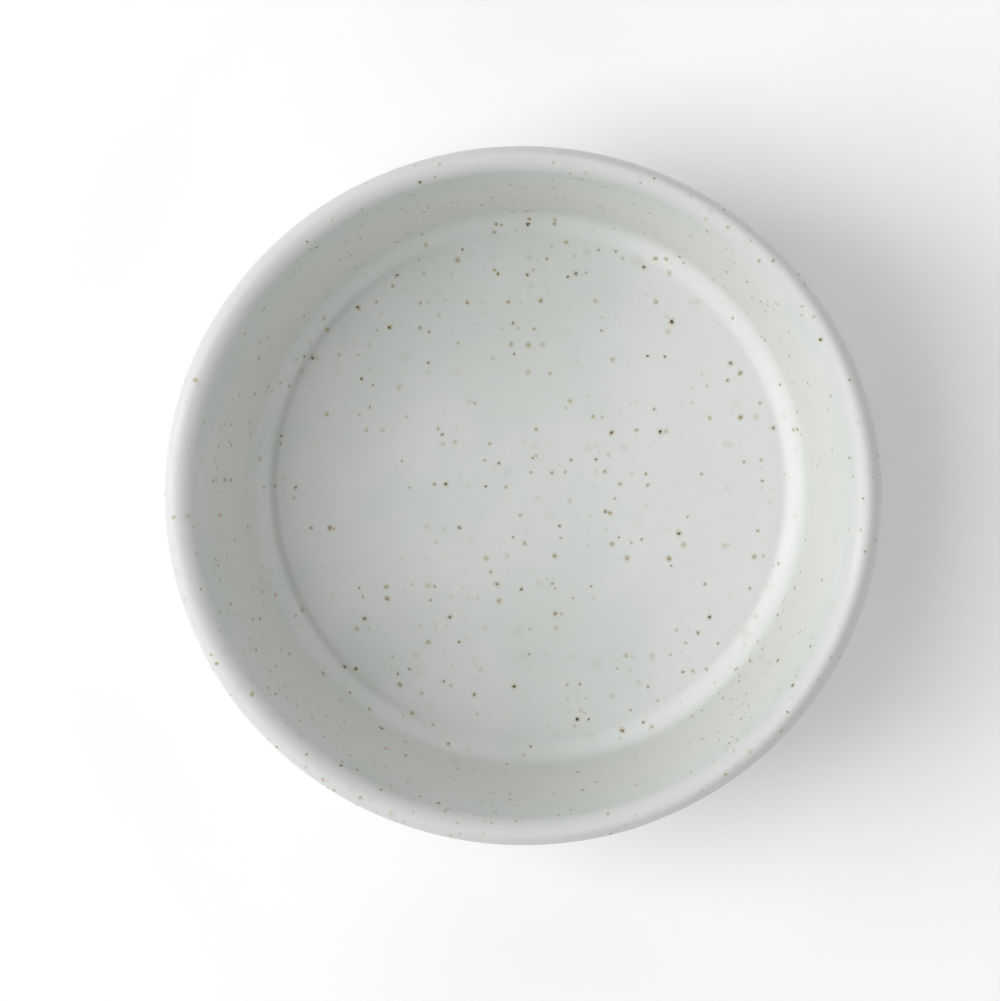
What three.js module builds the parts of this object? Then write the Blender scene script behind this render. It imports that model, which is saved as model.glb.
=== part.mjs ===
// A flat-bottomed evaporating dish in speckled stoneware, in millimetres, +Z up.
// The origin is the centre of the foot ring's resting face, and +X is the long way across the slightly oval lip.
//
// The dish is one potted body, glazed in two places. clay_body is the fired clay. glaze_coat is the glass
// that covers it inside, over the lip and down the outside to the glaze line. base_glaze is the patch of
// glaze in the recess that the foot ring surrounds. The foot ring itself stays bare, so that the dish
// doesn't stick to the kiln shelf. Each coat is fused to the clay, so it shares the clay's surface.
import * as THREE from "three";
import { mergeGeometries } from "three/addons/utils/BufferGeometryUtils.js";

// Overall size
const HEIGHT = 37;
const LIP_RADIUS = 60; // the mean of the long and the short half-width
const OVALITY = 0.0127; // how far the lip is drawn out along X, and in along Y, as a share of its radius
const GLAZE = 0.4; // thickness of the coat

// Inside
const FLOOR_Z = 6.5; // height of the glazed floor
const FLOOR_RADIUS = 44.4; // the flat part of the floor
const CORNER = 4.5; // radius between floor and wall

// Lip: a rolled edge, wide on the inside and tight on the outside
const LIP_INSIDE = 3;
const LIP_OUTSIDE = 2.3;
const NECK = 4; // the hollow under the lip, outside

// Wall and base
const WALL = 4; // thickness with its glaze
const BASE_CORNER = 8; // radius between wall and base, outside
const BASE_Z = 1.8; // where the base corner ends
const GLAZE_LINE = (-58 * Math.PI) / 180; // angle round the base corner at which the coat stops

// Foot ring and the recess inside it
const FOOT_OUTER = 42;
const FOOT_INNER = 37.2;
const FOOT_EDGE = 0.6; // rounding of the ring's edges
const RECESS_Z = 1.5; // height of the glazed recess above the table
const PATCH_RADIUS = 35.6;

// Fineness
const TURN_STEPS = 64; // facets round the dish
const ARC_STEP = (14 * Math.PI) / 180; // angle between two points of an arc

const point = (r, z) => new THREE.Vector2(r, z);
const quarter = Math.PI / 2;

// The circles that the outline runs round, as seen in section. Each keeps its centre in the coat and in the clay.
const corner = point(FLOOR_RADIUS, FLOOR_Z + CORNER);
const crest = LIP_RADIUS - LIP_OUTSIDE; // radius of the lip's highest line
const lipInside = point(crest, HEIGHT - LIP_INSIDE);
const lipOutside = point(crest, HEIGHT - LIP_OUTSIDE);

// The wall leans out by the angle of the line that touches the corner's circle and the lip's inner circle.
const rise = lipInside.clone().sub(corner);
const lean = Math.acos((CORNER + LIP_INSIDE) / rise.length()) - rise.angle();
const outward = point(Math.cos(lean), -Math.sin(lean)); // the normal of the wall, into the clay
const upward = point(Math.sin(lean), Math.cos(lean)); // along the wall

// The neck's circle touches the outer wall and the lip's outer circle.
const outerWall = outward.dot(corner) + CORNER + WALL;
const neckOut = outerWall + NECK - outward.dot(lipOutside);
const neckDown = Math.sqrt((LIP_OUTSIDE + NECK) ** 2 - neckOut ** 2);
const neck = lipOutside.clone().addScaledVector(outward, neckOut).addScaledVector(upward, -neckDown);
const neckTurn = Math.atan2(lipOutside.y - neck.y, lipOutside.x - neck.x);

// The base corner's circle touches the outer wall and the level of the base.
const baseHeight = BASE_Z + BASE_CORNER;
const base = point((outerWall - BASE_CORNER - outward.y * baseHeight) / outward.x, baseHeight);

// Points along an arc from one angle to the other, both ends included.
function arc(centre, radius, from, to) {
  const steps = Math.max(2, Math.ceil(Math.abs(to - from) / ARC_STEP));
  return Array.from({ length: steps + 1 }, (_, i) => {
    const angle = from + ((to - from) * i) / steps;
    return point(centre.x + radius * Math.cos(angle), centre.y + radius * Math.sin(angle));
  });
}

// The coated surface from the middle of the floor to the glaze line, sunk by depth into the dish.
function coated(depth) {
  return [
    point(0, FLOOR_Z - depth),
    ...arc(corner, CORNER + depth, -quarter, -lean),
    ...arc(lipInside, LIP_INSIDE - depth, Math.PI - lean, quarter),
    ...arc(lipOutside, LIP_OUTSIDE - depth, quarter, neckTurn - Math.PI).slice(1),
    ...arc(neck, NECK + depth, neckTurn, Math.PI - lean).slice(1),
    ...arc(base, BASE_CORNER - depth, -lean, GLAZE_LINE),
  ];
}

// The edge of the coat at the glaze line, from its face to the clay.
const coatEdge = () => [coated(0).at(-1), coated(GLAZE).at(-1)];

// The bare surface from the glaze line, round the foot ring, to the middle of the recess.
function bare() {
  const outerEdge = point(FOOT_OUTER - FOOT_EDGE, FOOT_EDGE);
  const innerEdge = point(FOOT_INNER + FOOT_EDGE, FOOT_EDGE);
  return [
    ...arc(base, BASE_CORNER - GLAZE, GLAZE_LINE, -quarter),
    point(FOOT_OUTER, BASE_Z + GLAZE),
    ...arc(outerEdge, FOOT_EDGE, 0, -quarter),
    ...arc(innerEdge, FOOT_EDGE, -quarter, -Math.PI),
    point(FOOT_INNER, RECESS_Z + GLAZE),
    point(0, RECESS_Z + GLAZE),
  ];
}

// The patch of glaze in the recess, from the middle of its face round its thin edge to the clay.
function patch() {
  return [
    point(0, RECESS_Z),
    point(PATCH_RADIUS - GLAZE, RECESS_Z),
    point(PATCH_RADIUS, RECESS_Z + GLAZE / 2),
    point(PATCH_RADIUS, RECESS_Z + GLAZE),
    point(0, RECESS_Z + GLAZE),
  ];
}

// A surface turned from a line of the section. Flipped, the same facets face the other side of it.
function surface(line, flipped = false) {
  const turned = new THREE.LatheGeometry(line, TURN_STEPS);
  if (flipped) turned.index.array.reverse();
  return turned.rotateX(quarter);
}

// Draws a shape out along X and in along Y, by nothing at the floor and by the most at the lip.
function drawOut(geometry) {
  const places = geometry.getAttribute("position");
  for (let i = 0; i < places.count; i++) {
    const share = THREE.MathUtils.smoothstep(places.getZ(i), FLOOR_Z, HEIGHT);
    places.setX(i, places.getX(i) * (1 + OVALITY * share));
    places.setY(i, places.getY(i) * (1 - OVALITY * share));
  }
  geometry.computeVertexNormals();
  return geometry;
}

// A named mesh from the surfaces that close round it, in its own material.
function layer(name, surfaces, look) {
  const mesh = new THREE.Mesh(drawOut(mergeGeometries(surfaces)), new THREE.MeshStandardMaterial(look));
  mesh.name = name;
  return mesh;
}

const bareClay = { color: 0xd3c7b2, roughness: 0.85, metalness: 0 };
const glaze = { color: 0xdfe2dd, roughness: 0.3, metalness: 0 };

const dish = new THREE.Group();
dish.add(
  layer("clay_body", [surface(coated(GLAZE), true), surface(bare(), true)], bareClay),
  layer("glaze_coat", [surface(coated(0), true), surface(coatEdge(), true), surface(coated(GLAZE))], glaze),
  layer("base_glaze", [surface(patch())], glaze),
);

export default dish;
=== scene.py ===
"""A glazed evaporating dish on a pale floor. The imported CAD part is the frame, and the fired surfaces go
round it.

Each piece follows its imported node's outline, with the marks of throwing, trimming and glazing added. The
iron spots in the glaze are a procedural scatter."""

import math

import bpy
import numpy as np
from mathutils import Matrix, Vector


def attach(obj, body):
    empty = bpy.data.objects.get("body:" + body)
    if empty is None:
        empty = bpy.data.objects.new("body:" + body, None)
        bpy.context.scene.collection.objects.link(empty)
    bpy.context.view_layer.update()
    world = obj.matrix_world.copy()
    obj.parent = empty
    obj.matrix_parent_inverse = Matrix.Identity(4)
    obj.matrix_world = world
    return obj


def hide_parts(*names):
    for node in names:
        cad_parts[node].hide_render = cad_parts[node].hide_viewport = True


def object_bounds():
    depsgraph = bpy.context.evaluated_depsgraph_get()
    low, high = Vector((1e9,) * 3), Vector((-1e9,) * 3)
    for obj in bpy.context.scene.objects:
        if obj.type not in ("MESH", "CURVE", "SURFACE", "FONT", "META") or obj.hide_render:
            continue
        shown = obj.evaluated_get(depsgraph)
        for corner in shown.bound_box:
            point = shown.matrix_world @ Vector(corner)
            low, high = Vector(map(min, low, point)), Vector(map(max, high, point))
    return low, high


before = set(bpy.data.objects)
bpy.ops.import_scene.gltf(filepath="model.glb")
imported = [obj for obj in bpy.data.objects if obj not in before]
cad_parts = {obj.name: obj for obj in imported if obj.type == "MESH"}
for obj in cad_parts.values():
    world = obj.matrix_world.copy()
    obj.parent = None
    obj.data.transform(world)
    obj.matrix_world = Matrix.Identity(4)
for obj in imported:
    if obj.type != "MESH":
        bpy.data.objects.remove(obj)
CAD_LOW, CAD_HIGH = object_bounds()
MM = 0.001
TAU = 2 * math.pi

# Camera: almost straight above the dish, a little up and to the right of its middle
EYE_RISE = 680 * MM  # above the lip
EYE_OFFSET = (30.6 * MM, 38.5 * MM)  # from the dish's axis
AIM_OFFSET = (-3.54 * MM, -0.41 * MM)  # what the middle of the picture looks at, level with the lip
PICTURE_SPAN = 168.8 * MM  # what the picture's long side spans, level with the lip
SENSOR = 36.0


def make_camera():
    """The camera, with the picture's upward direction along +Y."""
    eye = Vector((*EYE_OFFSET, CAD_HIGH.z + EYE_RISE))
    aim = Vector((*AIM_OFFSET, CAD_HIGH.z))
    back = (eye - aim).normalized()
    right = Vector((0, 1, 0)).cross(back).normalized()
    lens = bpy.data.cameras.new("camera")
    lens.sensor_width = SENSOR
    lens.lens = SENSOR * (eye - aim).length / PICTURE_SPAN
    lens.clip_start = 10 * MM
    lens.clip_end = 20.0
    camera = bpy.data.objects.new("camera", lens)
    turn = Matrix((right, back.cross(right), back)).transposed()
    camera.matrix_world = Matrix.Translation(eye) @ turn.to_4x4()
    bpy.context.scene.collection.objects.link(camera)
    bpy.context.scene.camera = camera


make_camera()

# ---------------------------------------------------------------- outlines of the nodes, in millimetres
NEAR = 1e-6  # metres: closer than this is on the axis or in the plane
STEP = 0.1  # spacing of an outline's points while it is worked on
ROUNDING = 13  # how many of those points its facets are rounded over
SEGMENTS = 384  # facets round a turned piece
PLAN = "plan"  # the attribute that holds where a vertex lies in the flat plan of spots


def half_outline(node, across):
    """A node's outline in the half-plane of +X (across 0) or +Y (across 1): (radius, height) pairs in
    order, from the top of the axis round to its bottom."""
    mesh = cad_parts[node].data
    places = {
        v.index: (round(v.co[across], 6), round(v.co.z, 6))
        for v in mesh.vertices
        if abs(v.co[1 - across]) < NEAR and v.co[across] > -NEAR
    }
    links = {}
    for edge in mesh.edges:
        a, b = (places.get(i) for i in edge.vertices)
        if a and b and a != b:
            links.setdefault(a, []).append(b)
            links.setdefault(b, []).append(a)
    here = max((p for p in links if p[0] < NEAR), key=lambda p: p[1])
    path = []
    while here:
        path.append(here)
        here = next((p for p in links[here] if p not in path), None)
    return np.array(path) / MM


def distances(rows):
    """How far along an outline each of its rows is."""
    mean = np.column_stack([rows[:, :2].mean(1), rows[:, 2]])
    return np.concatenate([[0], np.cumsum(np.linalg.norm(np.diff(mean, axis=0), axis=1))])


def outline(node):
    """A node's outline as rows of half-width along X, half-width along Y and height. Its facets are
    rounded off."""
    along_x, along_y = half_outline(node, 0), half_outline(node, 1)
    corners = np.column_stack([along_x[:, 0], along_y[:, 0], along_x[:, 1]])
    length = distances(corners)
    even = np.linspace(0, length[-1], int(length[-1] / STEP))
    rows = np.column_stack([np.interp(even, length, column) for column in corners.T])
    half = ROUNDING // 2
    padded = np.pad(rows, ((half, half), (0, 0)), mode="reflect", reflect_type="odd")
    weights = np.hanning(ROUNDING + 2)[1:-1]
    return np.column_stack([np.convolve(column, weights / weights.sum(), "valid") for column in padded.T])


def turned(name, rows, spacing, plan, relief, material):
    """A closed piece: an outline turned round the axis. spacing is the gap between rings at each row. plan is
    how far from the middle each row lies in the flat plan on which a glaze's spots are scattered.
    relief(place, turn) gives how far each vertex is moved out from the surface, away from the axis and up."""
    length = distances(rows)
    count = np.concatenate([[0], np.cumsum(np.diff(length) / spacing[1:])])
    places = np.interp(np.linspace(0, count[-1], int(count[-1]) + 1), count, length)
    angles = np.linspace(0, TAU, SEGMENTS, endpoint=False)
    place, turn = np.meshgrid(places[1:-1], angles, indexing="ij")
    out, away, up = relief(place, turn)
    x, y, z = (np.interp(place, length, column) for column in rows.T)
    slope = np.gradient(rows, length, axis=0)
    away = away - np.interp(place, length, slope[:, 2]) * out
    up = up + np.interp(place, length, slope[:, :2].mean(1)) * out
    ring = np.stack([(x + away) * np.cos(turn), (y + away) * np.sin(turn), z + up], -1)
    verts = np.vstack([[0, 0, rows[0, 2]], ring.reshape(-1, 3), [0, 0, rows[-1, 2]]]) * MM
    here = 1 + np.arange(len(places) - 2)[:, None] * SEGMENTS + np.arange(SEGMENTS)
    onward = np.roll(here, -1, axis=1)
    quads = np.stack([here[:-1], here[1:], onward[1:], onward[:-1]], -1).reshape(-1, 4)
    last = len(verts) - 1
    faces = [(0, a, b) for a, b in zip(here[0].tolist(), onward[0].tolist())]
    faces += quads.tolist()
    faces += [(last, b, a) for a, b in zip(here[-1].tolist(), onward[-1].tolist())]
    mesh = bpy.data.meshes.new(name)
    mesh.from_pydata(verts.tolist(), [], faces)
    spread = np.interp(place, length, plan)
    flat = np.stack([spread * np.cos(turn), spread * np.sin(turn), 0 * spread], -1).reshape(-1, 3)
    middle = np.zeros((1, 3))
    laid = mesh.attributes.new(PLAN, "FLOAT_VECTOR", "POINT")
    laid.data.foreach_set("vector", np.vstack([middle, flat, middle]).ravel())
    mesh.shade_smooth()
    mesh.materials.append(material)
    piece = bpy.data.objects.new(name, mesh)
    bpy.context.scene.collection.objects.link(piece)
    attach(piece, "root")
    return piece


def window(value, low, high, soft):
    """1 between low and high, falling to 0 over a distance soft outside them."""
    both = np.clip((value - low) / soft + 1, 0, 1) * np.clip((high - value) / soft + 1, 0, 1)
    return both * both * (3 - 2 * both)


def hump(value, centre, width):
    """A smooth bump of height 1."""
    return np.exp(-(((value - centre) / width) ** 2))


def lumps(x, y, z, across, rng, count=9):
    """A smooth random field, about -1 to 1, whose lumps are so many millimetres across."""
    total = 0
    for _ in range(count):
        heading = rng.normal(size=3)
        heading *= math.pi / across / np.linalg.norm(heading)
        total = total + np.sin(heading[0] * x + heading[1] * y + heading[2] * z + rng.uniform(0, TAU))
    return total / math.sqrt(count)


# ---------------------------------------------------------------- materials
class Paint:
    """A material, and short ways to write its nodes. Lengths are in millimetres."""

    def __init__(self, name):
        self.material = bpy.data.materials.new(name)
        self.material.use_nodes = True
        self.tree = self.material.node_tree
        self.shader = self.tree.nodes["Principled BSDF"]
        self.place = self.vector("SCALE", self.node("TexCoord").outputs["Object"], scale=1 / MM)
        self.across, _, self.height = self.node("SeparateXYZ", {0: self.place}).outputs

    def node(self, kind, inputs=None, **settings):
        made = self.tree.nodes.new("ShaderNode" + kind)
        for key, value in settings.items():
            setattr(made, key, value)
        for key, value in (inputs or {}).items():
            self.give(made, key, value)
        return made

    def give(self, node, key, value):
        """Links a socket to a node's input, or sets the input to a value."""
        if isinstance(value, bpy.types.NodeSocket):
            self.tree.links.new(value, node.inputs[key])
        else:
            node.inputs[key].default_value = value

    def vector(self, operation, a, b=(0, 0, 0), c=(0, 0, 0), scale=1.0):
        made = self.node("VectorMath", {0: a, 1: b, 2: c, 3: scale}, operation=operation)
        return made.outputs["Value" if operation == "LENGTH" else "Vector"]

    def math(self, operation, a, b=0.0, c=0.0):
        return self.node("Math", {0: a, 1: b, 2: c}, operation=operation).outputs[0]

    def times(self, a, b):
        return self.math("MULTIPLY", a, b)

    def ranged(self, value, low, high, to_low=0.0, to_high=1.0):
        """value taken from low..high to to_low..to_high, with soft ends."""
        inputs = {"Value": value, "From Min": low, "From Max": high, "To Min": to_low, "To Max": to_high}
        return self.node("MapRange", inputs, interpolation_type="SMOOTHSTEP").outputs[0]

    def noise(self, across, detail=2.0, seed=0.0, place=None):
        """Noise, 0 to 1, whose lumps are so many millimetres across."""
        moved = self.vector("ADD", place or self.place, (seed, seed, seed))
        return self.node("TexNoise", {"Vector": moved, "Scale": 1 / across, "Detail": detail}).outputs["Fac"]

    def mixed(self, share, a, b):
        """Colour a with a share of colour b over it."""
        return self.node("Mix", {0: share, 6: a, 7: b}, data_type="RGBA").outputs[2]

    def spots(self, place, cell, radii, share):
        """Spots scattered on a plane, one to a cell, in a share of the cells. Returns the distance from the
        nearest, in spot radii, and a random number, 0 to 1, of its own."""
        field = self.node("TexVoronoi", {"Vector": place, "Scale": 1 / cell}, voronoi_dimensions="2D")
        chance = self.node("SeparateColor", {0: field.outputs["Color"]})
        skewed = self.math("POWER", chance.outputs[0], 2.0)
        radius = self.math("MULTIPLY_ADD", skewed, radii[1] - radii[0], radii[0])
        apart = self.math("DIVIDE", self.times(field.outputs["Distance"], cell), radius)
        missing = self.math("GREATER_THAN", chance.outputs[1], share)
        return self.math("MULTIPLY_ADD", missing, 100.0, apart), chance.outputs[2]


TOP = CAD_HIGH.z / MM
FLOOR_Z = outline("glaze_coat")[0, 2]  # the height of the dish's floor
FLOOR_EDGE = 45.1  # how far out along the surface the groove at the foot of the wall runs

# Colours, as linear red, green and blue
CELADON = (0.590, 0.618, 0.590, 1)  # the glaze where it lies thick
PALE = (0.640, 0.650, 0.635, 1)  # the glaze elsewhere
PAINTED_LIP_SHADE = (0.592, 0.600, 0.592, 1)  # painted shade: the glaze made darker and greyer over the lip
CLOUD = (0.560, 0.615, 0.590, 1)  # greener clouds in it
PAINTED_SHADE = (0.440, 0.455, 0.430, 1)  # painted shade: a dark line at the foot of the wall, on the side that faces away from the key lights
PAINTED_LIGHT = (0.725, 0.735, 0.720, 1)  # painted light: the floor made lighter on its lit side, across from the key lights
WARM = (0.592, 0.602, 0.575, 1)  # the glaze on the walls
RUST = (0.42, 0.33, 0.15, 1)
INK = (0.034, 0.024, 0.016, 1)
TAN = (0.39, 0.32, 0.14, 1)
BROWN = (0.20, 0.14, 0.06, 1)
FRECKLE = (0.45, 0.46, 0.39, 1)
CLAY = (0.60, 0.50, 0.38, 1)
CLAY_DARK = (0.46, 0.36, 0.25, 1)
CLAY_SAND = (0.74, 0.66, 0.54, 1)


def inked(paint, colour, near, chance):
    """Adds ink-dark iron spots with a rusty halo to a colour. Returns the colour, and where the spots are."""
    halo = paint.times(paint.ranged(near, 2.8, 0.6), paint.ranged(chance, 0, 1, 0.3, 0.7))
    core = paint.times(paint.ranged(near, 1.1, 0.5), paint.ranged(chance, 0, 0.8, 0.6, 1.0))
    return paint.mixed(core, paint.mixed(halo, colour, RUST), INK), core


def glaze_ground_and_painted_light(paint, flat):
    """The glaze's colour without its spots, with painted light and shade: faint green clouds, painted light
    on the floor's lit side, painted shade at the foot of the wall on the shaded side, and painted shade over
    the lip."""
    colour = paint.mixed(paint.ranged(paint.noise(34, 3, 5), 0.35, 0.65), PALE, CELADON)
    colour = paint.mixed(paint.ranged(paint.noise(15, 3, 40), 0.45, 0.75, 0, 0.6), colour, CLOUD)
    above_floor = paint.ranged(paint.height, FLOOR_Z + 0.5, FLOOR_Z + 6)
    on_floor = paint.math("SUBTRACT", 1.0, above_floor)
    # Painted light: the floor is made lighter towards its lit side (+X), away from the key lights.
    ragged_across = paint.math("MULTIPLY_ADD", paint.noise(20, 2, 70), 20.0, paint.across)
    painted_light_share = paint.times(on_floor, paint.ranged(ragged_across, 8, 42, 0, 0.8))
    colour = paint.mixed(painted_light_share, colour, PAINTED_LIGHT)
    # Painted shade: a dark ring at the foot of the wall, on the shaded side (-X) only.
    from_edge = paint.math("SUBTRACT", paint.vector("LENGTH", flat), FLOOR_EDGE)
    painted_shade_ring = paint.ranged(paint.math("ABSOLUTE", from_edge), 1.2, 0.1)
    colour = paint.mixed(paint.times(painted_shade_ring, paint.ranged(paint.across, -8, -42, 0, 0.5)), colour, PAINTED_SHADE)
    below_lip = paint.ranged(paint.height, TOP - 4, TOP - 13, 0, 0.8)
    colour = paint.mixed(paint.times(above_floor, below_lip), colour, WARM)
    # Painted shade: the lip is made darker and greyer.
    return paint.mixed(paint.ranged(paint.height, TOP - 3, TOP, 0, 0.9), colour, PAINTED_LIP_SHADE)


def glaze_spots(paint, flat, colour):
    """Adds the iron spots of several kinds to a glaze's colour: soft smudges, fine freckles, tan spots with
    a brown middle, and ink-dark spots, small and large. Returns the colour, and where the dark spots are."""
    wander = paint.node("TexNoise", {"Vector": paint.place, "Scale": 1 / 0.6, "Detail": 2.0})
    wander = paint.vector("SUBTRACT", wander.outputs["Color"], (0.5, 0.5, 0.5))
    ragged = paint.vector("MULTIPLY_ADD", wander, (0.7, 0.7, 0), flat)
    gathered = paint.ranged(paint.noise(17, 2, 90), 0.36, 0.62, 0.2, 1.0)
    thinned = paint.ranged(paint.height, FLOOR_Z + 0.5, FLOOR_Z + 6, 1.0, 0.9)
    kept = paint.times(gathered, thinned)  # how much of the full share of spots is kept, place by place

    near, chance = paint.spots(ragged, 6.5, (0.7, 1.5), paint.times(kept, 0.6))
    smudge = paint.times(paint.ranged(near, 1.3, 0.1), paint.ranged(chance, 0, 1, 0.05, 0.3))
    colour = paint.mixed(smudge, colour, FRECKLE)

    near, chance = paint.spots(ragged, 1.8, (0.14, 0.32), paint.times(kept, 0.6))
    freckle = paint.times(paint.ranged(near, 1.2, 0.2), paint.ranged(chance, 0, 1, 0.1, 0.5))
    colour = paint.mixed(freckle, colour, FRECKLE)

    near, chance = paint.spots(ragged, 2.5, (0.26, 0.50), paint.times(kept, 0.36))
    tan = paint.times(paint.ranged(near, 1.8, 0.1), paint.ranged(chance, 0, 1, 0.1, 0.8))
    colour = paint.mixed(tan, colour, TAN)
    brown = paint.times(paint.ranged(near, 0.8, 0.2), paint.ranged(chance, 0.4, 1, 0, 0.6))
    colour = paint.mixed(brown, colour, BROWN)

    near, chance = paint.spots(ragged, 4.6, (0.16, 0.28), paint.times(kept, 0.22))
    colour, small = inked(paint, colour, near, chance)
    near, chance = paint.spots(ragged, 9.0, (0.22, 0.36), paint.times(kept, 0.55))
    colour, large = inked(paint, colour, near, chance)
    return colour, paint.math("MAXIMUM", small, large)


def glaze_paint(name):
    """Satin glaze over speckled clay, with painted light and shade in its colour."""
    paint = Paint(name)
    flat = paint.node("Attribute", attribute_name=PLAN).outputs["Vector"]
    colour, dark = glaze_spots(paint, flat, glaze_ground_and_painted_light(paint, flat))
    rough = paint.ranged(paint.noise(9, 3, 60), 0.35, 0.65, 0.40, 0.50)
    skin = paint.times(paint.noise(0.9, 2, 10), 0.004)
    skin = paint.math("MULTIPLY_ADD", paint.noise(4.5, 1, 20), 0.02, skin)
    skin = paint.math("MULTIPLY_ADD", dark, -0.02, skin)
    bumps = paint.node("Bump", {"Height": skin, "Distance": MM, "Strength": 1.0})
    paint.give(paint.shader, "Base Color", colour)
    paint.give(paint.shader, "Roughness", paint.math("MULTIPLY_ADD", dark, 0.2, rough))
    paint.give(paint.shader, "Normal", bumps.outputs[0])
    return paint.material


def clay_paint(name):
    """Bare fired clay: buff and sandy, with dark grains of iron."""
    paint = Paint(name)
    colour = paint.mixed(paint.ranged(paint.noise(7, 4, 3), 0.35, 0.65), CLAY, CLAY_SAND)
    near, chance = paint.spots(paint.place, 1.7, (0.12, 0.34), 0.45)
    iron = paint.times(paint.ranged(near, 1.2, 0.4), paint.ranged(chance, 0, 1, 0.2, 0.9))
    colour = paint.mixed(iron, colour, CLAY_DARK)
    near, chance = paint.spots(paint.place, 0.6, (0.08, 0.2), 0.6)
    sand = paint.times(paint.ranged(near, 1.0, 0.3), paint.ranged(chance, 0, 1, 0.0, 0.5))
    colour = paint.mixed(sand, colour, CLAY_SAND)
    grit = paint.times(paint.noise(0.25, 3, 8), 0.05)
    grit = paint.math("MULTIPLY_ADD", sand, 0.03, grit)
    bumps = paint.node("Bump", {"Height": grit, "Distance": MM, "Strength": 1.0})
    paint.give(paint.shader, "Base Color", colour)
    paint.give(paint.shader, "Roughness", paint.ranged(paint.noise(0.5, 2, 30), 0.3, 0.7, 0.75, 0.95))
    paint.give(paint.shader, "Normal", bumps.outputs[0])
    return paint.material


# ---------------------------------------------------------------- the dish
COAT = outline("glaze_coat")
COAT_LENGTH = distances(COAT)
CREST = int(COAT[:, 2].argmax())  # the row on top of the lip
GLAZE_EDGE = CREST + int(COAT[CREST:, 2].argmin())  # the row where the coat ends, above the foot
FLOOR_END = int(np.argmax(COAT[:, 2] > FLOOR_Z + 0.05))  # the row where the floor turns up
CORNER_END = int(np.argmax(COAT[:, 2] > FLOOR_Z + 4))  # the row where the wall begins
LIP_START = int(np.argmax(COAT[:, 2] > TOP - 2.6))  # the row where the lip begins
LIP_END = CREST + int(np.argmax(COAT[CREST:, 2] < TOP - 6))  # the row where the outer wall begins
# Which way the glaze ran as it came to its edge: away from the axis, and up
GLAZE_RUN = COAT[GLAZE_EDGE - 10, 1:] - COAT[GLAZE_EDGE - 30, 1:]
GLAZE_RUN /= np.linalg.norm(GLAZE_RUN)
FINE, COARSE = 0.62, 3.0  # gap between rings where a surface shows, and where it doesn't


def lean_out(place, turn, s, crest, height):
    """How far the wall's inside leans out beyond its outline, so that the lip is fuller on the left (-X)
    than at the back (+Y). Coat and clay lean alike."""
    uneven = 0.45 + 0.21 * np.cos(turn) + 0.21 * np.sin(turn) - 0.24 * np.cos(2 * turn)
    rise = np.clip((height - 14) / 20, 0, 1)
    fade = np.clip((s[crest] + 2.5 - place) / 3.5, 0, 1)
    return uneven * rise * rise * (3 - 2 * rise) * fade * fade * (3 - 2 * fade)


def throwing_marks(place, turn, rng):
    """The potter's finger marks, which climb in a spiral while the dish turns."""
    marks = 0
    for pitch, depth in ((2.3, 0.003), (3.7, 0.006), (6.6, 0.022)):
        lilt = rng.uniform(0, TAU)
        swing = 0.6 * np.sin(turn + 2 * lilt) + 0.3 * np.sin(2 * turn + lilt)
        marks = marks + depth * np.sin(TAU * place / pitch + turn + lilt + swing)
    return marks


def coat_relief(place, turn):
    """Where the coat stands out from its outline: finger marks, the swirl in the middle of the floor, an
    uneven lip, and the thick rolled edge of the glaze, which wanders above the foot."""
    rng = np.random.default_rng(7)
    s = COAT_LENGTH
    radius = np.interp(place, s, COAT[:, :2].mean(1))
    height = np.interp(place, s, COAT[:, 2])
    x, y = radius * np.cos(turn), radius * np.sin(turn)
    inner_wall = window(place, s[CORNER_END], s[LIP_START], 4)
    outer_wall = window(place, s[LIP_END], s[GLAZE_EDGE], 4)
    floor = window(place, 12, s[FLOOR_END] - 6, 6)
    on_lip = window(place, s[LIP_START], s[LIP_END], 3)
    shown = window(place, 0, s[GLAZE_EDGE], 0.5)
    marks = throwing_marks(place, turn, rng)
    out = marks * (inner_wall + 1.5 * outer_wall + 0.25 * floor + 0.25 * on_lip)
    sag = 0.08 * np.sin(2 * turn + 0.7) + 0.05 * np.sin(3 * turn + 2.1)
    arm = TAU * radius / 11 - turn
    out = out + 0.05 * hump(radius, 5, 5) * np.sin(arm) + 0.10 * hump(radius, 0, 2.0)
    up_wall = height + 0.8 * np.sin(turn + 1) + 0.5 * np.sin(2 * turn)  # finger marks don't run quite level
    bands = 0.04 * hump(up_wall, 22, 2.5) - 0.05 * hump(up_wall, 28, 1.8) - 0.03 * hump(up_wall, 16, 1.5)
    out = out + bands * inner_wall * (0.7 + 0.3 * np.cos(turn))
    out = out - 0.12 * hump(place, FLOOR_EDGE, 0.8)
    tired = np.clip(np.cos(turn - math.radians(335)), 0, 1) ** 2  # where the lip droops outward
    out = out - 0.32 * tired * hump(place, s[CREST] + 1.6, 1.2)
    scrape = window(turn, math.radians(204), math.radians(230), 0.2)
    out = out - 0.05 * scrape * hump(radius, 40.5, 0.8)
    out = out + 0.03 * lumps(x, y, height, 11, rng) * (inner_wall + outer_wall + 0.5 * on_lip)
    out = out + 0.012 * lumps(x, y, height, 9, rng) * floor
    to_edge = place - s[GLAZE_EDGE]
    wander = 0.45 * np.sin(3 * turn) + 0.35 * np.sin(5 * turn + 1.3) + 0.25 * np.sin(11 * turn + 0.4)
    wander = wander * window(to_edge, 0, 0, 4)
    out = out + (0.28 + 0.1 * np.sin(4 * turn + 2)) * hump(to_edge, -0.9, 0.8)
    shown_place = s[GLAZE_EDGE] - np.abs(to_edge)  # where a place on the coat's back shows on its face
    away = wander * GLAZE_RUN[0] + lean_out(shown_place, turn, s, CREST, height)
    return out * shown, away, wander * GLAZE_RUN[1] + sag * on_lip


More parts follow.
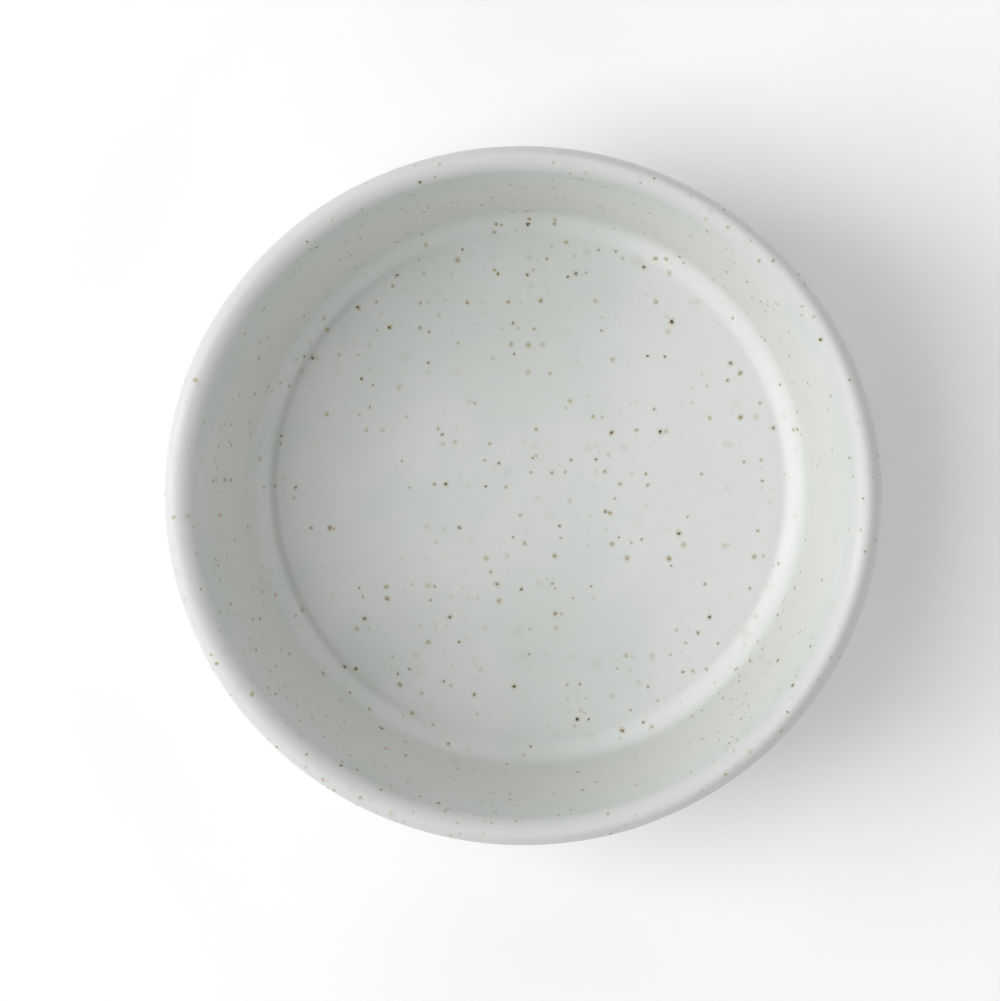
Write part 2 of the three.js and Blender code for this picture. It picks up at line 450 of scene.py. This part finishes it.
coat_spacing = np.where(np.arange(len(COAT)) <= GLAZE_EDGE + 5, FINE, COARSE)
glaze = glaze_paint("glaze")
# Spots are laid out by distance along the surface, so that they are nearly round on the wall as well
coat = turned("coat", COAT, coat_spacing, COAT_LENGTH, coat_relief, glaze)
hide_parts("glaze_coat")

BODY = outline("clay_body")
BODY_LENGTH = distances(BODY)
BODY_CREST = int(BODY[:, 2].argmax())
BARE = BODY_CREST + int(np.argmax(BODY[BODY_CREST:, 2] < COAT[GLAZE_EDGE, 2] + 2))


def body_relief(place, turn):
    """Where the clay stands out from its outline: fine rings left by the trimming tool on what is bare."""
    bare = window(place, BODY_LENGTH[BARE], BODY_LENGTH[-1], 2)
    rings = 0.018 * np.sin(TAU * place / 1.9 + turn) + 0.012 * np.sin(TAU * place / 4.3 + turn + 1)
    chatter = 0.006 * np.sin(90 * turn + 2 * place)
    height = np.interp(place, BODY_LENGTH, BODY[:, 2])
    return -np.abs(rings + chatter) * bare, lean_out(place, turn, BODY_LENGTH, BODY_CREST, height), 0


body_spacing = np.where(np.arange(len(BODY)) >= BARE, 0.4, COARSE)
body = turned("body", BODY, body_spacing, BODY[:, 0], body_relief, clay_paint("bare_clay"))
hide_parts("clay_body")

PATCH = outline("base_glaze")
PATCH_LENGTH = distances(PATCH)
PATCH_RIM = int(np.argmax(PATCH[:, 2] < PATCH[:, 2].mean()))  # the row half-way down the patch's edge


def patch_relief(place, turn):
    """Where the patch of glaze in the recess stands out from its outline: low waves, and an uneven edge."""
    rng = np.random.default_rng(11)
    s = PATCH_LENGTH
    radius = np.interp(place, s, PATCH[:, :2].mean(1))
    x, y = radius * np.cos(turn), radius * np.sin(turn)
    shown = window(place, s[PATCH_RIM], s[-1], 0.5)
    to_edge = place - s[PATCH_RIM]
    waves = 0.03 * lumps(x, y, 0 * x, 10, rng) + 0.02 * np.sin(TAU * place / 5 + turn)
    wander = 0.4 * np.sin(3 * turn + 1) + 0.3 * np.sin(7 * turn) + 0.15 * np.sin(13 * turn + 2) - 0.5
    out = waves * window(to_edge, 3, s[-1], 3) + 0.12 * hump(to_edge, 0.9, 0.8)
    return out * shown, wander * window(to_edge, 0, 0, 4), 0


patch_spacing = np.where(np.arange(len(PATCH)) >= PATCH_RIM - 5, FINE, COARSE)
patch = turned("patch", PATCH, patch_spacing, PATCH[:, 0], patch_relief, glaze)
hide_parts("base_glaze")

# ---------------------------------------------------------------- the room
FLOOR_SPAN = 40.0  # metres
FLOOR_CLOUDS = 600  # how many millimetres across the faint clouds in the floor's white are
FLOOR_WHITE = (0.93, 0.93, 0.93, 1)
FLOOR_PALE = (0.92, 0.92, 0.92, 1)
SKY = (1, 1, 1, 1)
SKY_POWER = 0.23

# Soft square lights that face the dish: two large ones on the left, and a ring of equal weaker ones all round
LIGHT_DISTANCE = 1.4  # metres
KEY_SIDE = 180  # degrees round from +X
KEY_WIDTH = 0.9
KEY_POWER = 7.8  # watts
KEY_RISES = (58, 25)  # degrees above the table
FILL_WIDTH = 0.7
FILL_POWER = 2.5
FILL_RISE = 32
FILL_COUNT = 6


def make_floor():
    """A pale floor that the dish stands on."""
    bpy.ops.mesh.primitive_plane_add(size=FLOOR_SPAN, location=(0, 0, CAD_LOW.z))
    floor = bpy.context.object
    floor.name = "floor"
    paint = Paint("floor")
    colour = paint.mixed(paint.noise(FLOOR_CLOUDS), FLOOR_WHITE, FLOOR_PALE)
    paint.give(paint.shader, "Base Color", colour)
    paint.give(paint.shader, "Roughness", 0.9)
    floor.data.materials.append(paint.material)


def make_light(name, azimuth, rise, width, power):
    """A square soft light that faces the dish, so many degrees round from +X and above the table."""
    lamp = bpy.data.lights.new(name, "AREA")
    lamp.size = width
    lamp.energy = power
    light = bpy.data.objects.new(name, lamp)
    a, e = math.radians(azimuth), math.radians(rise)
    toward = Vector((math.cos(a) * math.cos(e), math.sin(a) * math.cos(e), math.sin(e)))
    light.location = toward * LIGHT_DISTANCE
    light.rotation_euler = toward.to_track_quat("Z", "Y").to_euler()
    bpy.context.scene.collection.objects.link(light)


make_floor()
for rise in KEY_RISES:
    make_light(f"key_{rise}", KEY_SIDE, rise, KEY_WIDTH, KEY_POWER)
for i in range(FILL_COUNT):
    make_light(f"fill_{i}", 360 * i / FILL_COUNT, FILL_RISE, FILL_WIDTH, FILL_POWER)
world = bpy.data.worlds.new("room")
world.use_nodes = True
world.node_tree.nodes["Background"].inputs["Color"].default_value = SKY
world.node_tree.nodes["Background"].inputs["Strength"].default_value = SKY_POWER
bpy.context.scene.world = world
bpy.context.scene.view_settings.view_transform = "Standard"
